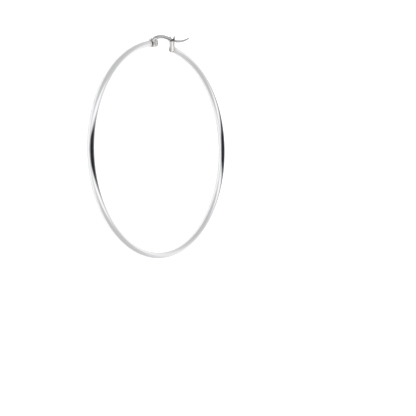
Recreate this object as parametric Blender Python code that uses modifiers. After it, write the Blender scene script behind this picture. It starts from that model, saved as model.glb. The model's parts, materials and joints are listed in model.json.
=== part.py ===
"""A large click-top hoop earring in polished steel, lying on its side.

Metres, +Z up. The hoop lies flat, with its closure towards +Y and the catch towards +X of the hinge.
The ear wire stands on its pin's axis, so that it opens by turning about its own origin.
"""

import math

import bmesh
import bpy
from mathutils import Matrix, Vector

# Hoop
HOOP_OUTER_DIAMETER = 0.0700
TUBE_DIAMETER = 0.0020
TUBE_SHOULDER = 0.0004
HINGE_END_STANDS_OUT = 0.0001
CATCH_END_SET_IN = 0.00066
HINGE_BEND_LENGTH = 0.0150
CATCH_BEND_LENGTH = 0.0300

# Where the two fittings stand, each measured from the middle of the closure
HINGE_OFFSET = 0.00506
CATCH_OFFSET = 0.00488

# Hinge fitting: a short barrel slotted for the ear wire
BARREL_DIAMETER = 0.0029
BARREL_WIDTH = 0.0024
BARREL_ROUNDING = 0.0004
BARREL_RISE = 0.00013
SLOT_WIDTH = 0.0011
EYE_DIAMETER = 0.0016
EYE_GAP = 0.0002
TUBE_INTO_BARREL = 0.0003

# Rivet
PIN_DIAMETER = 0.0008
PIN_FIT = 0.00005
PIN_RECESS = 0.00002
PIN_CHAMFER = 0.00008
EYE_SIDE_CLEARANCE = 0.0001

# Ear wire
WIRE_DIAMETER = 0.0011
NOTCH_WIRE_DIAMETER = 0.00076
ARCH_RISE = 0.00162
TAIL_LENGTH = 0.0089
TAIL_LIFT = 0.00155

# Catch plate: a round foot over the tube's end, a neck and a notched head
PLATE_THICKNESS = 0.00052
FOOT_DIAMETER = 0.0023
NECK_WIDTH = 0.00150
NECK_FILLET = 0.0006
HEAD_WIDTH = 0.0018
HEAD_FLARE_HEIGHT = 0.0004
CATCH_HEIGHT = 0.0042
NOTCH_DEPTH = 0.00174
NOTCH_FLARE = 0.00026
SEAT_CLEARANCE = 0.00004
SEAT_LIFT = 0.00016

# How finely the round shapes are cut
TUBE_STEPS = 96
TUBE_BEVEL = 6
WIRE_BEVEL = 4
WIRE_STEPS = 4
ROUND_SIDES = 32
ARC_STEPS = 6
SHOULDER_STEPS = 3
RIM_STEPS = 3
SHARP_ANGLE = 40
WELD_DISTANCE = 1e-6

# Polished steel
STEEL_COLOUR = (0.74, 0.75, 0.77, 1)
HOOP_ROUGHNESS = 0.10
PIN_ROUGHNESS = 0.16
WIRE_ROUGHNESS = 0.14

# Ear wire from the pin to the notch: share of the way across, share of ARCH_RISE above the straight
# line between the two, share of the full thickness
ARCH_ROUTE = (
    (0.000, 0.000, 0.70),
    (0.016, 0.520, 0.72),
    (0.058, 0.850, 0.84),
    (0.188, 0.985, 1.00),
    (0.420, 0.980, 1.00),
    (0.604, 0.790, 1.00),
    (0.763, 0.490, 1.00),
    (0.890, 0.215, 0.97),
    (0.945, 0.105, 0.77),
)
# Tail beyond the notch: share of TAIL_LENGTH, share of TAIL_LIFT, share of the full thickness
TAIL_ROUTE = (
    (0.193, -0.090, 0.73),
    (0.415, -0.030, 0.71),
    (0.671, 0.260, 0.66),
    (0.880, 0.680, 0.60),
    (1.000, 1.000, 0.52),
)

TUBE_RADIUS = TUBE_DIAMETER / 2
HOOP_RADIUS = HOOP_OUTER_DIAMETER / 2 - TUBE_RADIUS
BARREL_RADIUS = BARREL_DIAMETER / 2
WIRE_RADIUS = WIRE_DIAMETER / 2
# A cutter reaches this far past what it cuts
OVERCUT = BARREL_DIAMETER


def eased(share):
    """Runs smoothly from 1 where share is 0 to 0 where share is 1 or more."""
    return 0.5 + 0.5 * math.cos(math.pi * min(max(share, 0.0), 1.0))


def end_angle(offset):
    """The angle from the closure's middle at which the tube's middle line is this far to the side."""
    return math.asin(offset / HOOP_RADIUS)


def middle_radius(angle):
    """Radius of the tube's middle line: a circle, but for the two ends, which are bent a little."""
    if angle < math.pi:
        run = (angle - end_angle(CATCH_OFFSET)) * HOOP_RADIUS
        return HOOP_RADIUS - CATCH_END_SET_IN * eased(run / CATCH_BEND_LENGTH)
    run = (2 * math.pi - end_angle(HINGE_OFFSET) - angle) * HOOP_RADIUS
    return HOOP_RADIUS + HINGE_END_STANDS_OUT * eased(run / HINGE_BEND_LENGTH)


def middle_point(angle):
    """Point of the tube's middle line, at an angle measured clockwise from the closure's middle."""
    radius = middle_radius(angle)
    return Vector((radius * math.sin(angle), radius * math.cos(angle), 0))


def pin_place():
    on_tube = middle_point(2 * math.pi - end_angle(HINGE_OFFSET))
    return on_tube + Vector((0, BARREL_RISE, 0))


def foot_place():
    return middle_point(end_angle(CATCH_OFFSET))


def notch_bottom():
    """Height of the notch's lowest point above the middle of the catch plate's foot."""
    return CATCH_HEIGHT - NOTCH_DEPTH


def seat_place():
    """Middle of the ear wire where it lies in the notch."""
    rise = notch_bottom() + NOTCH_WIRE_DIAMETER / 2 + SEAT_LIFT
    return foot_place() + Vector((0, rise, 0))


def clear_scene():
    for old in list(bpy.data.objects):
        bpy.data.objects.remove(old, do_unlink=True)


def collection(name):
    made = bpy.data.collections.new(name)
    bpy.context.scene.collection.children.link(made)
    return made


def polished_steel(name, roughness):
    material = bpy.data.materials.new(name)
    material.use_nodes = True
    shader = material.node_tree.nodes["Principled BSDF"]
    shader.inputs["Base Color"].default_value = STEEL_COLOUR
    shader.inputs["Metallic"].default_value = 1.0
    shader.inputs["Roughness"].default_value = roughness
    return material


def solid_from_curve(curve, place, group):
    """The closed mesh object of a curve that has filled caps. The curve is removed."""
    guide = bpy.data.objects.new(curve.name + "_guide", curve)
    guide.matrix_world = place
    bpy.context.scene.collection.objects.link(guide)
    bpy.context.view_layer.update()
    graph = bpy.context.evaluated_depsgraph_get()
    mesh = bpy.data.meshes.new_from_object(guide.evaluated_get(graph))
    welded = bmesh.new()
    welded.from_mesh(mesh)
    bmesh.ops.remove_doubles(welded, verts=welded.verts, dist=WELD_DISTANCE)
    bmesh.ops.recalc_face_normals(welded, faces=welded.faces)
    welded.to_mesh(mesh)
    welded.free()
    solid = bpy.data.objects.new(curve.name, mesh)
    solid.matrix_world = guide.matrix_world.copy()
    group.objects.link(solid)
    bpy.data.objects.remove(guide, do_unlink=True)
    bpy.data.curves.remove(curve)
    return solid


def cylinder(name, radius, depth, place, group):
    """An upright cylinder about the point place."""
    mesh = bpy.data.meshes.new(name)
    shape = bmesh.new()
    bmesh.ops.create_cone(
        shape, cap_ends=True, segments=ROUND_SIDES, radius1=radius, radius2=radius, depth=depth
    )
    shape.to_mesh(mesh)
    shape.free()
    made = bpy.data.objects.new(name, mesh)
    made.location = place
    group.objects.link(made)
    return made


def block(name, low, high, group):
    """A box between two corners."""
    mesh = bpy.data.meshes.new(name)
    shape = bmesh.new()
    bmesh.ops.create_cube(shape, size=1.0)
    size = high - low
    bmesh.ops.scale(shape, vec=size, verts=shape.verts)
    bmesh.ops.translate(shape, vec=(low + high) / 2, verts=shape.verts)
    shape.to_mesh(mesh)
    shape.free()
    made = bpy.data.objects.new(name, mesh)
    group.objects.link(made)
    return made


def combine(target, operation, other):
    step = target.modifiers.new(operation.lower() + "_" + other.name, "BOOLEAN")
    step.operation = operation
    step.solver = "EXACT"
    step.object = other
    other.hide_render = True
    other.display_type = "WIRE"


def round_rims(target, width):
    rims = target.modifiers.new("rounded_rims", "BEVEL")
    rims.width = width
    rims.segments = RIM_STEPS
    rims.limit_method = "ANGLE"


def arc(centre, radius, start, end):
    """Points of an arc in the plate's plane, both ends included, with angles in radians."""
    points = []
    for step in range(ARC_STEPS + 1):
        angle = start + (end - start) * step / ARC_STEPS
        points.append((centre[0] + radius * math.cos(angle), centre[1] + radius * math.sin(angle)))
    return points


def hoop_tube(group):
    """The bent tube, with a rounded shoulder where its end meets the hinge."""
    first = end_angle(CATCH_OFFSET)
    last = 2 * math.pi - end_angle(HINGE_OFFSET + BARREL_RADIUS - TUBE_INTO_BARREL)
    shoulder = last - TUBE_SHOULDER / HOOP_RADIUS
    stops = []
    for step in range(TUBE_STEPS + 1):
        stops.append((first + (shoulder - first) * step / TUBE_STEPS, 1.0))
    for step in range(1, SHOULDER_STEPS + 1):
        turn = math.pi / 2 * step / SHOULDER_STEPS
        width = 1 - TUBE_SHOULDER / TUBE_RADIUS * (1 - math.cos(turn))
        stops.append((shoulder + (last - shoulder) * math.sin(turn), width))
    curve = bpy.data.curves.new("hoop", "CURVE")
    curve.dimensions = "3D"
    curve.bevel_depth = TUBE_RADIUS
    curve.bevel_resolution = TUBE_BEVEL
    curve.use_fill_caps = True
    line = curve.splines.new("POLY")
    line.points.add(len(stops) - 1)
    for point, (angle, width) in zip(line.points, stops):
        point.co = (*middle_point(angle), 1)
        point.radius = width
    return solid_from_curve(curve, Matrix.Identity(4), group)


def hinge_barrel(group):
    """The slotted barrel at the tube's hinge end: two round ears on a low web."""
    pin = pin_place()
    barrel = cylinder("hinge_barrel", BARREL_RADIUS, BARREL_WIDTH, pin, group)
    round_rims(barrel, BARREL_ROUNDING)
    half_slot = SLOT_WIDTH / 2
    web_face = pin.x - EYE_DIAMETER / 2 - EYE_GAP
    before_web = block(
        "slot",
        Vector((web_face, pin.y - OVERCUT, -half_slot)),
        Vector((pin.x + OVERCUT, pin.y + OVERCUT, half_slot)),
        group,
    )
    above_web = block(
        "slot_over_web",
        Vector((pin.x - OVERCUT, pin.y, -half_slot)),
        Vector((pin.x, pin.y + OVERCUT, half_slot)),
        group,
    )
    combine(barrel, "DIFFERENCE", before_web)
    combine(barrel, "DIFFERENCE", above_web)
    return barrel


def plate_outline():
    """Half of the catch plate's outline, from the foot's lowest point up and down into the notch."""
    foot = FOOT_DIAMETER / 2
    neck = NECK_WIDTH / 2
    head = HEAD_WIDTH / 2
    seat = NOTCH_WIRE_DIAMETER / 2 + SEAT_CLEARANCE
    fillet = (neck + NECK_FILLET, math.sqrt((foot + NECK_FILLET) ** 2 - (neck + NECK_FILLET) ** 2))
    lean = math.atan2(fillet[1], fillet[0])
    half = arc((0, 0), foot, -math.pi / 2, lean)
    half += arc(fillet, NECK_FILLET, math.pi + lean, math.pi)
    bottom = notch_bottom()
    half.append((neck, bottom - HEAD_FLARE_HEIGHT))
    half.append((head, bottom))
    tip = (head - seat - NOTCH_FLARE) / 2
    half += arc((head - tip, CATCH_HEIGHT - tip), tip, 0, math.pi)
    half += arc((0, bottom + seat), seat, 0, -math.pi / 2)
    return half


def catch_plate(group):
    """The upright plate at the tube's other end, with the notch that holds the ear wire."""
    half = plate_outline()
    other_half = [(-across, up) for across, up in reversed(half[1:-1])]
    outline = half + other_half
    curve = bpy.data.curves.new("catch_plate", "CURVE")
    curve.dimensions = "2D"
    curve.fill_mode = "BOTH"
    curve.extrude = PLATE_THICKNESS / 2
    line = curve.splines.new("POLY")
    line.points.add(len(outline) - 1)
    line.use_cyclic_u = True
    for point, (across, up) in zip(line.points, outline):
        point.co = (across, up, 0, 1)
    upright = Matrix.Rotation(-math.pi / 2, 4, "Y")
    return solid_from_curve(curve, Matrix.Translation(foot_place()) @ upright, group)


def build_hoop(parts, cutters):
    """Tube, hinge barrel and catch plate: soldered together, so one solid."""
    hoop = hoop_tube(parts)
    barrel = hinge_barrel(cutters)
    plate = catch_plate(cutters)
    hole_radius = PIN_DIAMETER / 2 + PIN_FIT
    hole = cylinder("rivet_hole", hole_radius, BARREL_WIDTH + OVERCUT, pin_place(), cutters)
    combine(hoop, "UNION", barrel)
    combine(hoop, "UNION", plate)
    combine(hoop, "DIFFERENCE", hole)
    hoop.data.materials.append(polished_steel("hoop_steel", HOOP_ROUGHNESS))
    return hoop


def build_hinge_pin(parts):
    """The rivet, a hair short of the ears' outer faces."""
    length = BARREL_WIDTH - 2 * PIN_RECESS
    pin = cylinder("hinge_pin", PIN_DIAMETER / 2, length, pin_place(), parts)
    round_rims(pin, PIN_CHAMFER)
    pin.data.materials.append(polished_steel("rivet_steel", PIN_ROUGHNESS))
    return pin


def wire_stops():
    """Points of the ear wire and its share of the full thickness there, measured from the pin."""
    seat = seat_place() - pin_place()
    stops = []
    for across, rise, width in ARCH_ROUTE:
        stops.append((seat.x * across, seat.y * across + ARCH_RISE * rise, width))
    stops.append((seat.x, seat.y, NOTCH_WIRE_DIAMETER / WIRE_DIAMETER))
    for along, lift, width in TAIL_ROUTE:
        stops.append((seat.x + TAIL_LENGTH * along, seat.y + TAIL_LIFT * lift, width))
    return stops


def build_ear_wire(parts, cutters):
    """The arched wire with its flat eye, whose origin is on the pin's axis."""
    curve = bpy.data.curves.new("ear_wire", "CURVE")
    curve.dimensions = "3D"
    curve.bevel_depth = WIRE_RADIUS
    curve.bevel_resolution = WIRE_BEVEL
    curve.resolution_u = WIRE_STEPS
    curve.use_fill_caps = True
    line = curve.splines.new("BEZIER")
    stops = wire_stops()
    line.bezier_points.add(len(stops) - 1)
    for point, (x, y, width) in zip(line.bezier_points, stops):
        point.co = (x, y, 0)
        point.radius = width
        point.handle_left_type = "AUTO"
        point.handle_right_type = "AUTO"
    pin = pin_place()
    wire = solid_from_curve(curve, Matrix.Translation(pin), parts)
    eye_width = SLOT_WIDTH - 2 * EYE_SIDE_CLEARANCE
    eye = cylinder("wire_eye", EYE_DIAMETER / 2, eye_width, pin, cutters)
    hole = cylinder("eye_hole", PIN_DIAMETER / 2 + PIN_FIT, eye_width + OVERCUT, pin, cutters)
    combine(wire, "UNION", eye)
    combine(wire, "DIFFERENCE", hole)
    wire.data.materials.append(polished_steel("wire_steel", WIRE_ROUGHNESS))
    return wire


def stand_on_origin(solids, stand):
    """Moves the whole earring so that the origin is under the middle of its box, at its lowest point."""
    bpy.context.view_layer.update()
    graph = bpy.context.evaluated_depsgraph_get()
    corners = []
    for solid in solids:
        shape = solid.evaluated_get(graph)
        corners += [shape.matrix_world @ vertex.co for vertex in shape.data.vertices]
    low = Vector([min(corner[axis] for corner in corners) for axis in range(3)])
    high = Vector([max(corner[axis] for corner in corners) for axis in range(3)])
    stand.location = (-(low.x + high.x) / 2, -(low.y + high.y) / 2, -low.z)


def main():
    clear_scene()
    parts = collection("hoop_earring")
    cutters = collection("cutters")
    hoop = build_hoop(parts, cutters)
    pin = build_hinge_pin(parts)
    wire = build_ear_wire(parts, cutters)
    solids = (hoop, pin, wire)
    for solid in solids:
        solid.data.shade_smooth()
        solid.data.set_sharp_from_angle(angle=math.radians(SHARP_ANGLE))
    stand = bpy.data.objects.new("hoop_earring_stand", None)
    parts.objects.link(stand)
    for piece in [*solids, *cutters.objects]:
        piece.parent = stand
    stand_on_origin(solids, stand)


main()
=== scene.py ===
import json
import math

import bmesh
import bpy
from mathutils import Matrix, Vector
from mathutils.geometry import interpolate_bezier


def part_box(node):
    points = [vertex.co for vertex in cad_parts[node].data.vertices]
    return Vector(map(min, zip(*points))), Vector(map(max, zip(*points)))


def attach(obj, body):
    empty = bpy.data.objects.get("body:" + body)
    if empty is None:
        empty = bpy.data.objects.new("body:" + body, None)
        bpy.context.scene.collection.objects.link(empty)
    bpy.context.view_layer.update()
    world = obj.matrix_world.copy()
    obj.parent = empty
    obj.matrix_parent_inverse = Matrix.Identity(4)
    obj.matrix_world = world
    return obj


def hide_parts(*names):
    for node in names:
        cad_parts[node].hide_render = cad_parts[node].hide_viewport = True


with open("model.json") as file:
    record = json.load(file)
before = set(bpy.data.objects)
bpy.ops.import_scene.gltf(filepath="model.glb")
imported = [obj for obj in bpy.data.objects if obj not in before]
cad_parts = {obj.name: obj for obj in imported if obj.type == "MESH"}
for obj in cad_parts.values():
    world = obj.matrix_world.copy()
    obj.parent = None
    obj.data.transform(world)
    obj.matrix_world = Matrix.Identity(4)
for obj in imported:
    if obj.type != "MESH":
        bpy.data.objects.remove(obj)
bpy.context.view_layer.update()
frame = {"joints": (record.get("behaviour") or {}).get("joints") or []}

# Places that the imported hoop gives: the hinge's axis and the middle of the ring, at the tube's height
hingePoint = Vector(frame["joints"][0]["pos_m"])
hoopLow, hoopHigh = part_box("hoop")
outerRadius = (hoopHigh.x - hoopLow.x) / 2
ringCentre = Vector(((hoopLow.x + hoopHigh.x) / 2, hoopLow.y + outerRadius, hingePoint.z))
print("frame loaded, ring centre", [round(value, 5) for value in ringCentre])


class Signal:
    # a shader socket on which plain Python arithmetic adds Math nodes
    def __init__(self, tree, socket=None):
        self.tree = tree
        self.socket = socket

    def node(self, kind, settings=None, inputs=None, output=0):
        made = self.tree.nodes.new(kind)
        for key, value in (settings or {}).items():
            if key == "stops":
                self.setStops(made.color_ramp, value)
            else:
                setattr(made, key, value)
        for key, value in (inputs or {}).items():
            if isinstance(value, Signal):
                self.tree.links.new(value.socket, made.inputs[key])
            else:
                made.inputs[key].default_value = value
        return Signal(self.tree, made.outputs[output])

    def setStops(self, ramp, stops):
        while len(ramp.elements) < len(stops):
            ramp.elements.new(1.0)
        for element, (place, colour) in zip(ramp.elements, stops):
            element.position = place
            element.color = colour

    def maths(self, operation, *values):
        return self.node("ShaderNodeMath", {"operation": operation}, dict(enumerate(values)))

    def eased(self, start, end):
        # 0 up to start, 1 from end on, smooth between them
        return self.node(
            "ShaderNodeMapRange", {"interpolation_type": "SMOOTHSTEP"},
            {"Value": self, "From Min": start, "From Max": end},
        )

    def parts(self):
        return [self.node("ShaderNodeSeparateXYZ", inputs={0: self}, output=axis) for axis in range(3)]

    def stretched(self, *scales):
        return self.node("ShaderNodeVectorMath", {"operation": "MULTIPLY"}, {0: self, 1: scales})

    def distanceTo(self, point):
        settings = {"operation": "DISTANCE"}
        return self.node("ShaderNodeVectorMath", settings, {0: self, 1: tuple(point)}, output="Value")

    def grain(self, scale, detail):
        return self.node("ShaderNodeTexNoise", inputs={"Vector": self, "Scale": scale, "Detail": detail})

    def mixed(self, first, second):
        # a colour from the first to the second, with this signal as the share of the second
        inputs = {"Factor": self, 6: first, 7: second}
        return self.node("ShaderNodeMix", {"data_type": "RGBA"}, inputs, output=2)

    def __add__(self, other):
        return self.maths("ADD", self, other)

    def __radd__(self, other):
        return self.maths("ADD", other, self)

    def __sub__(self, other):
        return self.maths("SUBTRACT", self, other)

    def __rsub__(self, other):
        return self.maths("SUBTRACT", other, self)

    def __mul__(self, other):
        return self.maths("MULTIPLY", self, other)

    def __rmul__(self, other):
        return self.maths("MULTIPLY", other, self)

    def __truediv__(self, other):
        return self.maths("DIVIDE", self, other)

    def __rtruediv__(self, other):
        return self.maths("DIVIDE", other, self)

    def __pow__(self, other):
        return self.maths("POWER", self, other)

    def __rpow__(self, other):
        return self.maths("POWER", other, self)


# What all pieces share: angles in degrees, lengths in metres
making = {"weld": 1e-7, "smoothUpTo": 40, "softSteps": 3, "softFrom": 35}


def newPiece(name, bm, body, replaced):
    bmesh.ops.remove_doubles(bm, verts=bm.verts, dist=making["weld"])
    bmesh.ops.recalc_face_normals(bm, faces=bm.faces)
    mesh = bpy.data.meshes.new(name)
    bm.to_mesh(mesh)
    bm.free()
    mesh.shade_smooth()
    mesh.set_sharp_from_angle(angle=math.radians(making["smoothUpTo"]))
    piece = bpy.data.objects.new(name, mesh)
    bpy.context.scene.collection.objects.link(piece)
    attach(piece, body)
    if replaced:
        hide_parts(replaced)
    return piece


def cutAway(piece, cutterShape):
    # takes the cutter's volume out of the piece, for good
    cutterMesh = bpy.data.meshes.new("cutter")
    cutterShape.to_mesh(cutterMesh)
    cutterShape.free()
    cutter = bpy.data.objects.new("cutter", cutterMesh)
    bpy.context.scene.collection.objects.link(cutter)
    step = piece.modifiers.new("cut", "BOOLEAN")
    step.operation = "DIFFERENCE"
    step.solver = "EXACT"
    step.object = cutter
    bpy.context.view_layer.update()
    graph = bpy.context.evaluated_depsgraph_get()
    cutMesh = bpy.data.meshes.new_from_object(piece.evaluated_get(graph))
    piece.modifiers.clear()
    piece.data = cutMesh
    cutMesh.name = piece.name
    bpy.data.objects.remove(cutter, do_unlink=True)


def softenEdges(piece, width):
    soft = piece.modifiers.new("softEdges", "BEVEL")
    soft.width = width
    soft.segments = making["softSteps"]
    soft.limit_method = "ANGLE"
    soft.angle_limit = math.radians(making["softFrom"])
    soft.harden_normals = True


def capEnd(bm, edges):
    return bmesh.ops.edgeloop_fill(bm, edges=edges)["faces"]


def roundEdges(bm, edges, width, steps):
    bmesh.ops.bevel(
        bm, geom=edges, offset=width, offset_type="OFFSET", affect="EDGES",
        segments=steps, profile=0.5, material=-1,
    )


def roundBar(radius, depth, sides, rim=0, rimSteps=1):
    bm = bmesh.new()
    bmesh.ops.create_cone(bm, cap_ends=True, segments=sides, radius1=radius, radius2=radius, depth=depth)
    if rim:
        rims = [edge for edge in bm.edges if abs(edge.verts[0].co.z - edge.verts[1].co.z) < depth / 2]
        roundEdges(bm, rims, rim, rimSteps)
    return bm


def boxBetween(low, high):
    bm = bmesh.new()
    bmesh.ops.create_cube(bm, size=1)
    bmesh.ops.scale(bm, vec=high - low, verts=bm.verts)
    bmesh.ops.translate(bm, vec=(low + high) / 2, verts=bm.verts)
    return bm


def easedOff(share):
    # 1 at a share of 0, falling smoothly to 0 at a share of 1
    return 0.5 + 0.5 * math.cos(math.pi * min(max(share, 0.0), 1.0))


# Tube, bent round to an open ring
tube = {
    "diameter": 0.0020,
    "sides": 48,
    "steps": 420,
    "catchOffset": 0.00488,     # of the tube's end from the closure's middle
    "catchSetIn": 0.00066,      # the two ends are bent a little off the circle
    "catchBend": 0.0300,
    "hingeStandOut": 0.0001,
    "hingeBend": 0.0150,
    "hingeGap": 0.00156,        # from the hinge's axis to the tube's end
    "shoulder": 0.0004,         # rounding of the end beside the hinge
    "shoulderSteps": 6,
    "seamShade": 0.00062,            # how far the solder comes up the rounding, coloured near-black as painted shade of the crease at the hinge
    "neck": 0.0005,             # of solder, from the rounded end to the hinge
}
tubeRadius = tube["diameter"] / 2
ringRadius = outerRadius - tubeRadius
catchAngle = math.asin(tube["catchOffset"] / ringRadius)
hingeAngle = math.atan2(-(hingePoint.x - ringCentre.x), hingePoint.y - ringCentre.y)
tubeEndAngle = 2 * math.pi - hingeAngle - tube["hingeGap"] / ringRadius


def bentRadius(angle):
    # radius of the tube's middle line, angle measured clockwise from the closure's middle
    if angle < math.pi:
        run = (angle - catchAngle) * ringRadius
        return ringRadius - tube["catchSetIn"] * easedOff(run / tube["catchBend"])
    run = (2 * math.pi - hingeAngle - angle) * ringRadius
    return ringRadius + tube["hingeStandOut"] * easedOff(run / tube["hingeBend"])


def tubePoint(angle):
    return ringCentre + bentRadius(angle) * Vector((math.sin(angle), math.cos(angle), 0))


footPoint = tubePoint(catchAngle)
seamPoint = tubePoint(tubeEndAngle)


def makeTube():
    bm = bmesh.new()
    ring = bmesh.ops.create_circle(bm, segments=tube["sides"], radius=tubeRadius)["verts"]
    upright = Matrix.Rotation(math.pi / 2, 4, "Y")
    bmesh.ops.transform(bm, matrix=Matrix.Translation((0, ringRadius, 0)) @ upright, verts=ring)
    bmesh.ops.rotate(bm, cent=(0, 0, 0), matrix=Matrix.Rotation(-catchAngle, 3, "Z"), verts=ring)
    firstEdges = list(bm.edges)
    turned = bmesh.ops.spin(
        bm, geom=firstEdges + ring, cent=(0, 0, 0), axis=(0, 0, -1),
        angle=tubeEndAngle - catchAngle, steps=tube["steps"],
    )
    lastEdges = [item for item in turned["geom_last"] if isinstance(item, bmesh.types.BMEdge)]
    for vert in bm.verts:
        angle = math.atan2(vert.co.x, vert.co.y) % (2 * math.pi)
        shift = bentRadius(angle) - ringRadius
        vert.co += shift * Vector((math.sin(angle), math.cos(angle), 0))
    capEnd(bm, firstEdges)
    rim = [edge for face in capEnd(bm, lastEdges) for edge in face.edges]
    roundEdges(bm, rim, tube["shoulder"], tube["shoulderSteps"])
    # a short neck of solder joins the rounded end to the hinge
    caps = [face for face in bm.faces if len(face.verts) == tube["sides"]]
    hingeCap = min(caps, key=lambda face: face.calc_center_median().x)
    grown = bmesh.ops.extrude_face_region(bm, geom=[hingeCap])["geom"]
    heading = Vector((math.cos(tubeEndAngle), -math.sin(tubeEndAngle), 0))
    neckVerts = [item for item in grown if isinstance(item, bmesh.types.BMVert)]
    bmesh.ops.translate(bm, vec=tube["neck"] * heading, verts=neckVerts)
    # the faces near the end and the neck take the near-black seam colour: painted shade of the crease between
    # the tube's end and the hinge
    for face in bm.faces:
        middle = face.calc_center_median()
        run = (tubeEndAngle - math.atan2(middle.x, middle.y) % (2 * math.pi)) * ringRadius
        face.material_index = 1 if run < tube["seamShade"] else 0
    bmesh.ops.translate(bm, vec=ringCentre, verts=bm.verts)
    return newPiece("hoopTube", bm, "hoop_body", "hoop")


# Hinge: a barrel slotted for the ear wire's eye, and the rivet through it
barrel = {
    "diameter": 0.0029,
    "width": 0.0024,
    "rim": 0.0004,
    "rimSteps": 6,
    "sides": 96,
    "slot": 0.0011,
    "eyeGap": 0.0002,           # between the eye and the web that joins the ears
    "rivetHole": 0.00041,
    "softEdge": 0.00005,
    "faceFrom": 0.49,           # share of the width above which a face is an ear's flat side
    "slotUpTo": 0.51,           # share of the slot below which it is one of the slot's faces
}
rivet = {"diameter": 0.0008, "dome": 0.00004, "domeSteps": 4, "short": 0.00002, "sides": 48}
eye = {"diameter": 0.0016, "width": 0.0009, "rim": 0.0001, "rimSteps": 3, "sides": 64}


def makeBarrel():
    radius = barrel["diameter"] / 2
    bm = roundBar(radius, barrel["width"], barrel["sides"], barrel["rim"], barrel["rimSteps"])
    bmesh.ops.translate(bm, vec=hingePoint, verts=bm.verts)
    piece = newPiece("hingeBarrel", bm, "hoop_body", "hoop")
    half = barrel["slot"] / 2
    far = barrel["diameter"]
    web = -eye["diameter"] / 2 - barrel["eyeGap"]
    cutAway(piece, boxBetween(hingePoint + Vector((web, -far, -half)), hingePoint + Vector((far, far, half))))
    cutAway(piece, boxBetween(hingePoint + Vector((-far, 0, -half)), hingePoint + Vector((0, far, half))))
    hole = roundBar(barrel["rivetHole"], 2 * barrel["width"], rivet["sides"])
    bmesh.ops.translate(hole, vec=hingePoint, verts=hole.verts)
    cutAway(piece, hole)
    for polygon in piece.data.polygons:
        height = abs(polygon.center.z - hingePoint.z)
        if height > barrel["faceFrom"] * barrel["width"]:
            polygon.material_index = 1
        else:
            polygon.material_index = 2 if height < barrel["slotUpTo"] * barrel["slot"] else 0
    softenEdges(piece, barrel["softEdge"])
    return piece


def makeRivet():
    length = barrel["width"] - 2 * rivet["short"]
    bm = roundBar(rivet["diameter"] / 2, length, rivet["sides"], rivet["dome"], rivet["domeSteps"])
    bmesh.ops.translate(bm, vec=hingePoint, verts=bm.verts)
    return newPiece("hingeRivet", bm, "hoop_body", "hinge_pin")


def makeEye():
    bm = roundBar(eye["diameter"] / 2, eye["width"], eye["sides"], eye["rim"], eye["rimSteps"])
    bmesh.ops.translate(bm, vec=hingePoint, verts=bm.verts)
    return newPiece("wireEye", bm, "wire_body", None)


# Catch plate: a round foot over the tube's end, a neck and a notched head
plate = {
    "thickness": 0.00052,
    "foot": 0.0023,
    "neck": 0.00150,
    "fillet": 0.0006,
    "head": 0.0018,
    "flareHeight": 0.0004,      # over which the neck widens to the head
    "height": 0.0042,
    "notchDepth": 0.00174,
    "notchFlare": 0.00026,
    "seatClearance": 0.00004,
    "arcSteps": 14,
    "weld": 1e-6,
    "softEdge": 0.00008,
}
# Ear wire, from its pin over the arch to the notch and on to the tip of the tail
wire = {
    "diameter": 0.0011,
    "notchDiameter": 0.00076,
    "archRise": 0.00162,
    "tailLength": 0.0089,
    "tailLift": 0.00155,
    "seatLift": 0.00016,        # how far the wire lies above the notch's bottom
    # share of the way from the pin to the notch, share of archRise, share of the diameter
    "arch": (
        (0.000, 0.000, 0.70),
        (0.016, 0.520, 0.72),
        (0.058, 0.850, 0.84),
        (0.188, 0.985, 1.00),
        (0.420, 0.980, 1.00),
        (0.604, 0.790, 1.00),
        (0.763, 0.490, 1.00),
        (0.890, 0.215, 0.97),
        (0.945, 0.105, 0.77),
    ),
    # share of tailLength past the notch, share of tailLift, share of the diameter
    "tail": (
        (0.193, -0.090, 0.76),
        (0.415, -0.030, 0.76),
        (0.671, 0.260, 0.68),
        (0.880, 0.680, 0.60),
        (1.000, 1.000, 0.52),
    ),
    "sides": 32,
    "stepsBetween": 10,
    "tipSteps": 5,
}
notchRadius = wire["notchDiameter"] / 2
notchHeight = plate["height"] - plate["notchDepth"]


def addArc(bm, centre, radius, start, end):
    # an arc of edges in the plate's own plane, from one spun vertex
    first = bm.verts.new((centre[0] + radius * math.cos(start), centre[1] + radius * math.sin(start), 0))
    turned = bmesh.ops.spin(
        bm, geom=[first], cent=(centre[0], centre[1], 0), axis=(0, 0, 1),
        angle=end - start, steps=plate["arcSteps"],
    )
    last = [item for item in turned["geom_last"] if isinstance(item, bmesh.types.BMVert)][0]
    return first, last


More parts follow.
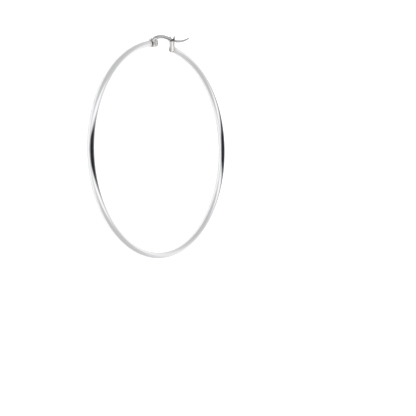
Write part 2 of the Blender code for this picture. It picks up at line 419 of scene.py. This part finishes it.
def makePlate():
    foot = plate["foot"] / 2
    neck = plate["neck"] / 2
    head = plate["head"] / 2
    seat = notchRadius + plate["seatClearance"]
    fillet = plate["fillet"]
    filletAt = (neck + fillet, math.sqrt((foot + fillet) ** 2 - (neck + fillet) ** 2))
    lean = math.atan2(filletAt[1], filletAt[0])
    tip = (head - seat - plate["notchFlare"]) / 2
    bm = bmesh.new()
    runs = [
        addArc(bm, (0, 0), foot, -math.pi / 2, lean),
        addArc(bm, filletAt, fillet, math.pi + lean, math.pi),
        (bm.verts.new((neck, notchHeight - plate["flareHeight"], 0)),) * 2,
        (bm.verts.new((head, notchHeight, 0)),) * 2,
        addArc(bm, (head - tip, plate["height"] - tip), tip, 0, math.pi),
        addArc(bm, (0, notchHeight + seat), seat, 0, -math.pi / 2),
    ]
    for before, after in zip(runs, runs[1:]):
        bm.edges.new((before[1], after[0]))
    bmesh.ops.mirror(bm, geom=list(bm.verts) + list(bm.edges), merge_dist=plate["weld"], axis="X")
    bmesh.ops.remove_doubles(bm, verts=bm.verts, dist=plate["weld"])
    bmesh.ops.contextual_create(bm, geom=list(bm.edges))
    flat = bmesh.ops.extrude_face_region(bm, geom=list(bm.faces))
    raised = [item for item in flat["geom"] if isinstance(item, bmesh.types.BMVert)]
    bmesh.ops.translate(bm, vec=(0, 0, plate["thickness"]), verts=raised)
    bmesh.ops.translate(bm, vec=(0, 0, -plate["thickness"] / 2), verts=bm.verts)
    for face in bm.faces:
        face.material_index = 0 if len(face.verts) > 4 else 1     # the stamped edge is duller
    upright = Matrix.Rotation(-math.pi / 2, 4, "Y")
    bmesh.ops.transform(bm, matrix=Matrix.Translation(footPoint) @ upright, verts=bm.verts)
    piece = newPiece("catchPlate", bm, "hoop_body", "hoop")
    softenEdges(piece, plate["softEdge"])
    return piece


def wireStations():
    # points of the wire's middle line and its radius there, from the pin to the tip of the tail
    radius = wire["diameter"] / 2
    rise = notchHeight + notchRadius + wire["seatLift"]
    seat = footPoint + Vector((0, rise, 0)) - hingePoint
    stops = []
    for across, lift, share in wire["arch"]:
        stops.append((Vector((seat.x * across, seat.y * across + wire["archRise"] * lift, 0)), share))
    stops.append((seat, notchRadius / radius))
    for along, lift, share in wire["tail"]:
        stops.append((seat + Vector((wire["tailLength"] * along, wire["tailLift"] * lift, 0)), share))
    guide = bpy.data.curves.new("wireGuide", "CURVE")
    guide.dimensions = "3D"
    line = guide.splines.new("BEZIER")
    line.bezier_points.add(len(stops) - 1)
    for point, (place, share) in zip(line.bezier_points, stops):
        point.co = place
        point.handle_left_type = "AUTO"
        point.handle_right_type = "AUTO"
    holder = bpy.data.objects.new("wireGuide", guide)
    bpy.context.scene.collection.objects.link(holder)
    bpy.context.view_layer.update()
    stations = []
    points = line.bezier_points
    for index in range(len(stops) - 1):
        here = points[index]
        there = points[index + 1]
        knots = (here.co, here.handle_right, there.handle_left, there.co)
        run = interpolate_bezier(*knots, wire["stepsBetween"] + 1)
        for step, place in enumerate(run[:-1] if index < len(stops) - 2 else run):
            part = 1 - easedOff(step / wire["stepsBetween"])
            share = stops[index][1] * (1 - part) + stops[index + 1][1] * part
            stations.append((place.copy(), radius * share))
    bpy.data.objects.remove(holder, do_unlink=True)
    bpy.data.curves.remove(guide)
    return stations


def makeWire():
    stations = wireStations()
    directions = []
    for index in range(len(stations)):
        before = stations[max(index - 1, 0)][0]
        after = stations[min(index + 1, len(stations) - 1)][0]
        directions.append((after - before).normalized())
    tipPlace, tipRadius = stations[-1]
    for step in range(1, wire["tipSteps"]):
        turn = math.pi / 2 * step / wire["tipSteps"]
        stations.append((tipPlace + directions[-1] * tipRadius * math.sin(turn), tipRadius * math.cos(turn)))
    directions += [directions[-1]] * (wire["tipSteps"] - 1)
    bm = bmesh.new()
    # where each vertex would be if the wire were straight, for the lines that drawing left along it
    straight = bm.verts.layers.float_vector.new("straight")
    ring = bmesh.ops.create_circle(bm, segments=wire["sides"], radius=1)["verts"]
    edges = list(bm.edges)
    placed = Matrix.Identity(4)
    length = 0
    for index, (place, radius) in enumerate(stations):
        if index:
            grown = bmesh.ops.extrude_edge_only(bm, edges=edges)["geom"]
            ring = [item for item in grown if isinstance(item, bmesh.types.BMVert)]
            rungs = [item for item in grown if isinstance(item, bmesh.types.BMEdge)]
            edges = [edge for edge in rungs if all(vert in ring for vert in edge.verts)]
            length += (place - stations[index - 1][0]).length
        facing = directions[index].to_track_quat("Z", "Y").to_matrix().to_4x4()
        target = Matrix.Translation(hingePoint + place) @ facing @ Matrix.Scale(radius, 4)
        bmesh.ops.transform(bm, matrix=target @ placed.inverted(), verts=ring)
        placed = target
        unturned = target.inverted()
        for vert in ring:
            local = unturned @ vert.co
            vert[straight] = (length, local.x * radius, local.y * radius)
        if not index:
            capEnd(bm, edges)
            edges = list(bm.edges)
    capEnd(bm, edges)
    return newPiece("earWire", bm, "wire_body", "ear_wire")


print("modelling")
hoopTube = makeTube()
hingeBarrel = makeBarrel()
hingeRivet = makeRivet()
catchPlate = makePlate()
earWire = makeWire()
wireEye = makeEye()

# Steels: how each is finished. A steel turns to its dull colour where it is worn, where it is stained, and
# where shade is painted on it
steels = {
    "tube": {"colour": (0.765, 0.765, 0.770, 1), "dullAndShade": (0.20, 0.19, 0.185, 1), "roughness": 0.05},
    "fitting": {"colour": (0.84, 0.838, 0.835, 1), "dullAndShade": (0.20, 0.19, 0.185, 1), "roughness": 0.45},
    "plate": {"colour": (0.950, 0.947, 0.943, 1), "dullAndShade": (0.17, 0.165, 0.16, 1), "roughness": 0.07},
    "face": {"colour": (0.56, 0.56, 0.56, 1), "dullAndShade": (0.21, 0.205, 0.20, 1), "roughness": 0.17},
    "stamped": {"colour": (0.52, 0.515, 0.51, 1), "dullAndShade": (0.16, 0.15, 0.145, 1), "roughness": 0.20},
    "slot": {
        "colour": (0.90, 0.90, 0.90, 1), "dullAndShade": (0.05, 0.048, 0.045, 1), "roughness": 0.50, "metallic": 0.4,
    },
    # the seam's near-black colour is painted shade of the crease between the tube's end and the hinge
    "seamShade": {"colour": (0.06, 0.058, 0.055, 1), "dullAndShade": (0.03, 0.029, 0.028, 1), "roughness": 0.35},
    "rivet": {"colour": (0.58, 0.58, 0.585, 1), "dullAndShade": (0.16, 0.155, 0.15, 1), "roughness": 0.14},
    "wire": {"colour": (0.455, 0.457, 0.462, 1), "dullAndShade": (0.12, 0.115, 0.11, 1), "roughness": 0.17},
}

# Marks that the making and the wear left, and painted shade. Each function gives a height in metres and a
# share of dullness and painted shade
polish = {"along": 55, "around": 8, "detail": 4, "depth": 2.5e-7}


def tubeMarks(base, place):
    # polishing lines that run along the tube
    x, y, z = place.parts()
    outX = x - ringCentre.x
    outY = y - ringCentre.y
    off = (outX * outX + outY * outY) ** 0.5 - ringRadius
    around = base.maths("ARCTAN2", base.maths("ABSOLUTE", z - ringCentre.z), off)
    inputs = {0: outX * polish["along"], 1: outY * polish["along"], 2: around * polish["around"]}
    line = base.node("ShaderNodeCombineXYZ", inputs=inputs)
    return line.grain(1, polish["detail"]) * polish["depth"], 0


blank = {"mottle": 3200, "mottled": (0.40, 0.66), "strength": 0.75, "grain": 9000, "depth": 1.2e-6}


def faceMarks(base, place):
    # a blanked face, mottled where it has been handled and soldered
    mottle = place.grain(blank["mottle"], 2).eased(*blank["mottled"])
    return place.grain(blank["grain"], 3) * blank["depth"], mottle * blank["strength"]


turning = {"rings": 120000, "ringDepth": 2e-7, "grain": 5000, "grainDepth": 1e-6}


def turnedMarks(base, place):
    # fine rings round the hinge's axis
    x, y = place.parts()[:2]
    outX = x - hingePoint.x
    outY = y - hingePoint.y
    ring = base.maths("SINE", (outX * outX + outY * outY) ** 0.5 * turning["rings"])
    return ring * turning["ringDepth"] + place.grain(turning["grain"], 3) * turning["grainDepth"], 0


# Painted shade on the barrel: up the hinge from its axis, and away from the seam. The painted shadow spot's
# place is from the hinge's axis
barrelShade = {
    "under": -0.0014, "over": -0.0007, "full": 0.00090, "end": 0.00130,
    "rootShadowSpot": (-0.00082, 0.00120, 0.00058), "core": 0.00020, "reach": 0.00042,
}


def barrelMarks(base, place):
    # turned like the rivet, with painted shade of the crease running up from the seam and a painted shadow
    # spot by the wire's root at the near ear's rim
    height = turnedMarks(base, place)[0]
    above = (place.parts()[1] - hingePoint.y).eased(barrelShade["under"], barrelShade["over"])
    # painted shade up the barrel's side beside the seam
    run = above * (1 - place.distanceTo(seamPoint).eased(barrelShade["full"], barrelShade["end"]))
    rootShadowSpotAt = hingePoint + Vector(barrelShade["rootShadowSpot"])
    rootShadowSpot = 1 - place.distanceTo(rootShadowSpotAt).eased(barrelShade["core"], barrelShade["reach"])
    return height, base.maths("MAXIMUM", run, rootShadowSpot)


sawing = {"scales": (900, 900, 9000), "depth": 1e-6}
slotShade = {
    "under": -0.0014, "over": -0.0008, "low": 0.0004, "high": 0.0010, "strength": 0.87,
    "rootShadow": (0.0001, 0.0012, -0.00055), "reach": 0.0006,
}


def slotMarks(base, place):
    # sawn faces, with painted shade low down in the slot and a painted shadow round the wire's root
    up = place.parts()[1] - hingePoint.y
    low = up.eased(slotShade["under"], slotShade["over"]) * (1 - up.eased(slotShade["low"], slotShade["high"]))
    # painted shadow round the wire's root
    rootShadow = 1 - place.distanceTo(hingePoint + Vector(slotShade["rootShadow"])).eased(0, slotShade["reach"])
    height = place.stretched(*sawing["scales"]).grain(1, 3) * sawing["depth"]
    return height, base.maths("MAXIMUM", low * slotShade["strength"], rootShadow)


# Painted shade on the plate's head and sides: up from the notch, and in shares of half the plate's width from
# its middle
headShade = {"under": -0.0006, "over": 0.0002, "strength": 0.85}
brushedAndShadedSides = {
    "hollow": 6e-5, "scales": (3000, 250, 11000), "depth": 5e-7,
    "left": (-0.25, 0.30), "right": (0.35, 0.85), "strength": 0.36,
}
# darker spots low on the foot; places on the face from the foot's middle, up and aside
footSpots = {"side": (-0.00025, -0.00080), "low": (-0.00085, 0.00045), "reach": 0.00038, "strength": 0.55}


def shadedHead(y):
    # painted shade and reflection of the wire, on the prongs and round the notch
    up = y - footPoint.y
    return up.eased(notchHeight + headShade["under"], notchHeight + headShade["over"]) * headShade["strength"]


def plateMarks(base, place):
    # a face pressed a little hollow and brushed lengthwise, with painted shade at its left and right sides
    # and round the notch
    y, z = place.parts()[1:]
    across = (z - ringCentre.z) / (plate["neck"] / 2)
    hollow = across * across * brushedAndShadedSides["hollow"]
    lines = place.stretched(*brushedAndShadedSides["scales"]).grain(1, 3) * brushedAndShadedSides["depth"]
    # the face's left and right sides darker: painted shade
    left = (0 - across).eased(*brushedAndShadedSides["left"])
    right = across.eased(*brushedAndShadedSides["right"])
    sides = base.maths("MAXIMUM", left, right) * brushedAndShadedSides["strength"]
    footDarkness = 0
    for up, aside in (footSpots["side"], footSpots["low"]):
        spot = footPoint + Vector((-plate["thickness"] / 2, up, aside))
        footDarkness = footDarkness + footSpots["strength"] * (1 - place.distanceTo(spot).eased(0, footSpots["reach"]))
    return hollow + lines, base.maths("MAXIMUM", shadedHead(y), sides + footDarkness)


shear = {"spots": 2500, "spotted": (0.45, 0.7), "strength": 0.5, "scales": (500, 9000, 9000), "depth": 1.2e-6}


def edgeMarks(base, place):
    # the shear lines of stamping, across the sheet's thickness, with random duller spots and the head's
    # painted shade
    spots = place.grain(shear["spots"], 2).eased(*shear["spotted"]) * shear["strength"]
    wornAndShaded = base.maths("MAXIMUM", spots, shadedHead(place.parts()[1]))
    return place.stretched(*shear["scales"]).grain(1, 3) * shear["depth"], wornAndShaded


crust = {"grain": 8000, "depth": 4e-6, "spots": 2500, "spotted": (0.4, 0.7)}


def seamMarks(base, place):
    # the crust of flux on the solder seam, whose near-black colour is painted shade
    height = place.grain(crust["grain"], 4) * crust["depth"]
    return height, place.grain(crust["spots"], 2).eased(*crust["spotted"])


drawing = {"streaks": (90, 2600, 2600), "streaked": 0.25, "lines": (120, 9000, 9000), "depth": 6e-7}
wireShade = {"rootShadow": 0.0011, "rootEnd": 0.0017, "innerStart": 0.00025, "innerEnd": 0.00055, "innerShade": 0.45}


def wireMarks(base, place):
    # lines that drawing left along the wire; painted shadow at its root, and painted shade along its inner
    # side
    straight = base.node("ShaderNodeAttribute", {"attribute_name": "straight"}, output="Vector")
    along, out = straight.parts()[:2]
    # painted shadow at the wire's root
    rootShadow = 1 - along.eased(wireShade["rootShadow"], wireShade["rootEnd"])
    # painted shade along the wire's inner side
    innerShade = (0 - out).eased(wireShade["innerStart"], wireShade["innerEnd"]) * wireShade["innerShade"]
    streaks = straight.stretched(*drawing["streaks"]).grain(1, 2) * drawing["streaked"]
    height = straight.stretched(*drawing["lines"]).grain(1, 4) * drawing["depth"]
    return height, base.maths("MAXIMUM", rootShadow, innerShade + streaks)


# What every steel has: painted shade in the clasp's crevices, the tint of heat beside the two joints, and
# handling
creviceShading = {"reach": 0.0003, "samples": 8, "dark": 0.20, "clean": 0.75, "above": 0.029}
heat = {"near": 0.0003, "far": 0.0016, "tint": (0.60, 0.57, 0.52, 1), "strength": 0.35}
handling = {
    "smudges": 330, "smudged": (0.46, 0.68), "smudgeRough": 0.035,
    "scratches": (260, 7000, 2200), "turns": (0.5, 2.1), "scratched": (0.70, 0.76),
    "scratchRough": 0.10, "scratchDepth": 1.5e-7, "dullRough": 0.12,
}


def steelMaterial(name, look, makeMarks):
    material = bpy.data.materials.new(name)
    material.use_nodes = True
    tree = material.node_tree
    shader = tree.nodes["Principled BSDF"]
    base = Signal(tree)
    place = base.node("ShaderNodeTexCoord", output="Object")
    height, wornAndShaded = makeMarks(base, place)
    smudge = place.grain(handling["smudges"], 4).eased(*handling["smudged"])
    scratch = 0
    for turn in handling["turns"]:
        inputs = {"Vector": place, "Angle": turn}
        turned = base.node("ShaderNodeVectorRotate", {"rotation_type": "Z_AXIS"}, inputs)
        scratch = scratch + turned.stretched(*handling["scratches"]).grain(1, 1).eased(*handling["scratched"])
    settings = {"samples": creviceShading["samples"]}
    inputs = {"Distance": creviceShading["reach"]}
    # ambient occlusion darkens the clasp's crevices: painted shade
    openness = base.node("ShaderNodeAmbientOcclusion", settings, inputs, output="AO")
    atClasp = base.maths("GREATER_THAN", place.parts()[1], ringCentre.y + creviceShading["above"])
    paintedCreviceShade = atClasp * (1 - openness.eased(creviceShading["dark"], creviceShading["clean"]))
    dullnessAndShade = 1 - (1 - paintedCreviceShade) * (1 - wornAndShaded)
    nearJoint = base.maths("MINIMUM", place.distanceTo(seamPoint), place.distanceTo(footPoint))
    heated = heat["strength"] * (1 - nearJoint.eased(tubeRadius + heat["near"], tubeRadius + heat["far"]))
    steel = heated.mixed(look["colour"], heat["tint"])
    # the dull colour stands for wear and for painted shade
    colour = dullnessAndShade.mixed(steel, look["dullAndShade"])
    marked = smudge * handling["smudgeRough"] + scratch * handling["scratchRough"]
    rough = look["roughness"] + marked + dullnessAndShade * handling["dullRough"]
    scratched = height - scratch * handling["scratchDepth"]
    relief = base.node("ShaderNodeBump", inputs={"Height": scratched, "Distance": 1.0})
    tree.links.new(colour.socket, shader.inputs["Base Color"])
    tree.links.new(rough.socket, shader.inputs["Roughness"])
    tree.links.new(relief.socket, shader.inputs["Normal"])
    shader.inputs["Metallic"].default_value = look.get("metallic", 1)
    return material


print("materials")
tubeSteel = steelMaterial("polishedTubeSteel", steels["tube"], tubeMarks)
fittingSteel = steelMaterial("polishedFittingSteel", steels["fitting"], barrelMarks)
faceSteel = steelMaterial("blankedFaceSteel", steels["face"], faceMarks)
slotSteel = steelMaterial("sawnSlotSteel", steels["slot"], slotMarks)
seamShadeSteel = steelMaterial("solderSeamShade", steels["seamShade"], seamMarks)
rivetSteel = steelMaterial("rivetSteel", steels["rivet"], turnedMarks)
plateSteel = steelMaterial("brushedPlateSteel", steels["plate"], plateMarks)
stampedSteel = steelMaterial("stampedEdgeSteel", steels["stamped"], edgeMarks)
wireSteel = steelMaterial("drawnWireSteel", steels["wire"], wireMarks)
eyeSteel = steelMaterial("flattenedEyeSteel", steels["wire"], turnedMarks)
dressing = (
    (hoopTube, (tubeSteel, seamShadeSteel)),
    (hingeBarrel, (fittingSteel, faceSteel, slotSteel)),
    (hingeRivet, (rivetSteel,)),
    (catchPlate, (plateSteel, stampedSteel)),
    (earWire, (wireSteel,)),
    (wireEye, (eyeSteel,)),
)
for piece, materials in dressing:
    for material in materials:
        piece.data.materials.append(material)

print("stage")
floorLook = {
    "reach": 4.0, "sides": 64, "colour": (0.92, 0.92, 0.92, 1), "roughness": 0.7,
    "grain": 2500, "grainRough": 0.1, "grainDepth": 4e-6,
}


def makeFloor():
    bm = bmesh.new()
    bmesh.ops.create_circle(bm, cap_ends=True, segments=floorLook["sides"], radius=floorLook["reach"])
    mesh = bpy.data.meshes.new("floor")
    bm.to_mesh(mesh)
    bm.free()
    floor = bpy.data.objects.new("floor", mesh)
    bpy.context.scene.collection.objects.link(floor)
    material = bpy.data.materials.new("paleCard")
    material.use_nodes = True
    tree = material.node_tree
    shader = tree.nodes["Principled BSDF"]
    shader.inputs["Base Color"].default_value = floorLook["colour"]
    base = Signal(tree)
    card = base.node("ShaderNodeTexCoord", output="Object").grain(floorLook["grain"], 3)
    relief = base.node("ShaderNodeBump", inputs={"Height": card * floorLook["grainDepth"], "Distance": 1.0})
    rough = floorLook["roughness"] + card * floorLook["grainRough"]
    tree.links.new(relief.socket, shader.inputs["Normal"])
    tree.links.new(rough.socket, shader.inputs["Roughness"])
    mesh.materials.append(material)
    floor.visible_glossy = False    # the steel mirrors the studio, as in a light tent


makeFloor()

# Studio that the steel mirrors: a dark strip overhead between two bright ones, and greys behind them
studio = {
    "facing": 51,               # the dark strip's middle, in degrees above the horizon at -X
    "lean": 2.0,                # and how far it lies towards -Y, in degrees
    # degrees round the strip's long axis, and the brightness there
    "middle": (
        (0, 0.012), (14.5, 0.020), (25.5, 1.27), (40, 1.25),
        (51, 0.72), (95, 0.68), (130, 0.90), (160, 1.25),
    ),
    "upper": (
        (0, 0.17), (13, 0.21), (21, 0.42), (29, 0.78), (37, 0.83),
        (50, 0.72), (70, 0.76), (95, 0.98), (130, 1.16), (160, 1.22),
    ),
    "lower": (
        (0, 0.45), (12, 0.47), (20, 0.62), (30, 0.78), (42, 0.90),
        (60, 1.00), (95, 1.05), (130, 1.14), (160, 1.25),
    ),
    "upperFade": (0.45, 1.00),  # shares of the long axis between which each end takes over
    "lowerFade": (-0.48, -1.00),
    "poleFade": (0.96, 1.00),
    "pole": 1.08,               # brightness at the long axis's upper end
    "blue": 0.007,              # a little more blue, which shows in the dark strip only
    "floorLight": 2.20,         # brightness for what isn't a mirrored ray
}


def makeStudio():
    world = bpy.data.worlds.new("studio")
    bpy.context.scene.world = world
    world.use_nodes = True
    tree = world.node_tree
    tree.nodes.clear()
    base = Signal(tree)
    direction = base.node("ShaderNodeTexCoord", output="Generated")
    facing = math.radians(studio["facing"])

    def share(axis):
        settings = {"operation": "DOT_PRODUCT"}
        return base.node("ShaderNodeVectorMath", settings, {0: direction, 1: axis}, output="Value")

    front = share((-math.cos(facing), 0, math.sin(facing)))
    along = share((math.sin(facing), 0, math.cos(facing)))
    turn = base.maths("ARCTAN2", share((0, 1, 0)), front) * (180 / math.pi) + studio["lean"]
    turned = base.maths("ABSOLUTE", turn) / 180

    def bands(name):
        stops = [(place / 180, (glow, glow, glow + studio["blue"], 1)) for place, glow in studio[name]]
        return base.node("ShaderNodeValToRGB", {"stops": stops}, {"Fac": turned})

    upperPart = along.eased(*studio["upperFade"]).mixed(bands("middle"), bands("upper"))
    bothParts = along.eased(*studio["lowerFade"]).mixed(upperPart, bands("lower"))
    whole = along.eased(*studio["poleFade"]).mixed(bothParts, (studio["pole"],) * 3 + (1,))
    floorLight = (studio["floorLight"],) * 3 + (1,)
    shown = base.node("ShaderNodeLightPath", output="Is Glossy Ray").mixed(floorLight, whole)
    sky = base.node("ShaderNodeBackground", inputs={"Color": shown})
    output = tree.nodes.new("ShaderNodeOutputWorld")
    tree.links.new(sky.socket, output.inputs["Surface"])


makeStudio()
bpy.context.scene.view_settings.view_transform = "Standard"

camera = {
    "distance": 0.282,
    "elevation": 37.95,
    "side": 1.75,               # degrees from -X towards -Y
    "aim": (0.02506, -0.01956), # where the picture's middle meets the ring's plane, from the ring's centre
    "lens": 75.26,
    "sensor": 36.0,
    "clip": (0.01, 20),
}


def makeCamera():
    data = bpy.data.cameras.new("camera")
    data.lens = camera["lens"]
    data.sensor_width = camera["sensor"]
    data.clip_start, data.clip_end = camera["clip"]
    cam = bpy.data.objects.new("camera", data)
    bpy.context.scene.collection.objects.link(cam)
    rise = math.radians(camera["elevation"])
    side = math.radians(camera["side"])
    back = Vector((-math.cos(side) * math.cos(rise), -math.sin(side) * math.cos(rise), math.sin(rise)))
    place = ringCentre + camera["distance"] * back
    aim = ringCentre + Vector((*camera["aim"], 0))
    forward = (aim - place).normalized()
    right = forward.cross(Vector((0, 1, 0))).normalized()
    up = right.cross(forward)
    cam.matrix_world = Matrix.Translation(place) @ Matrix((right, up, -forward)).transposed().to_4x4()
    bpy.context.scene.camera = cam


makeCamera()
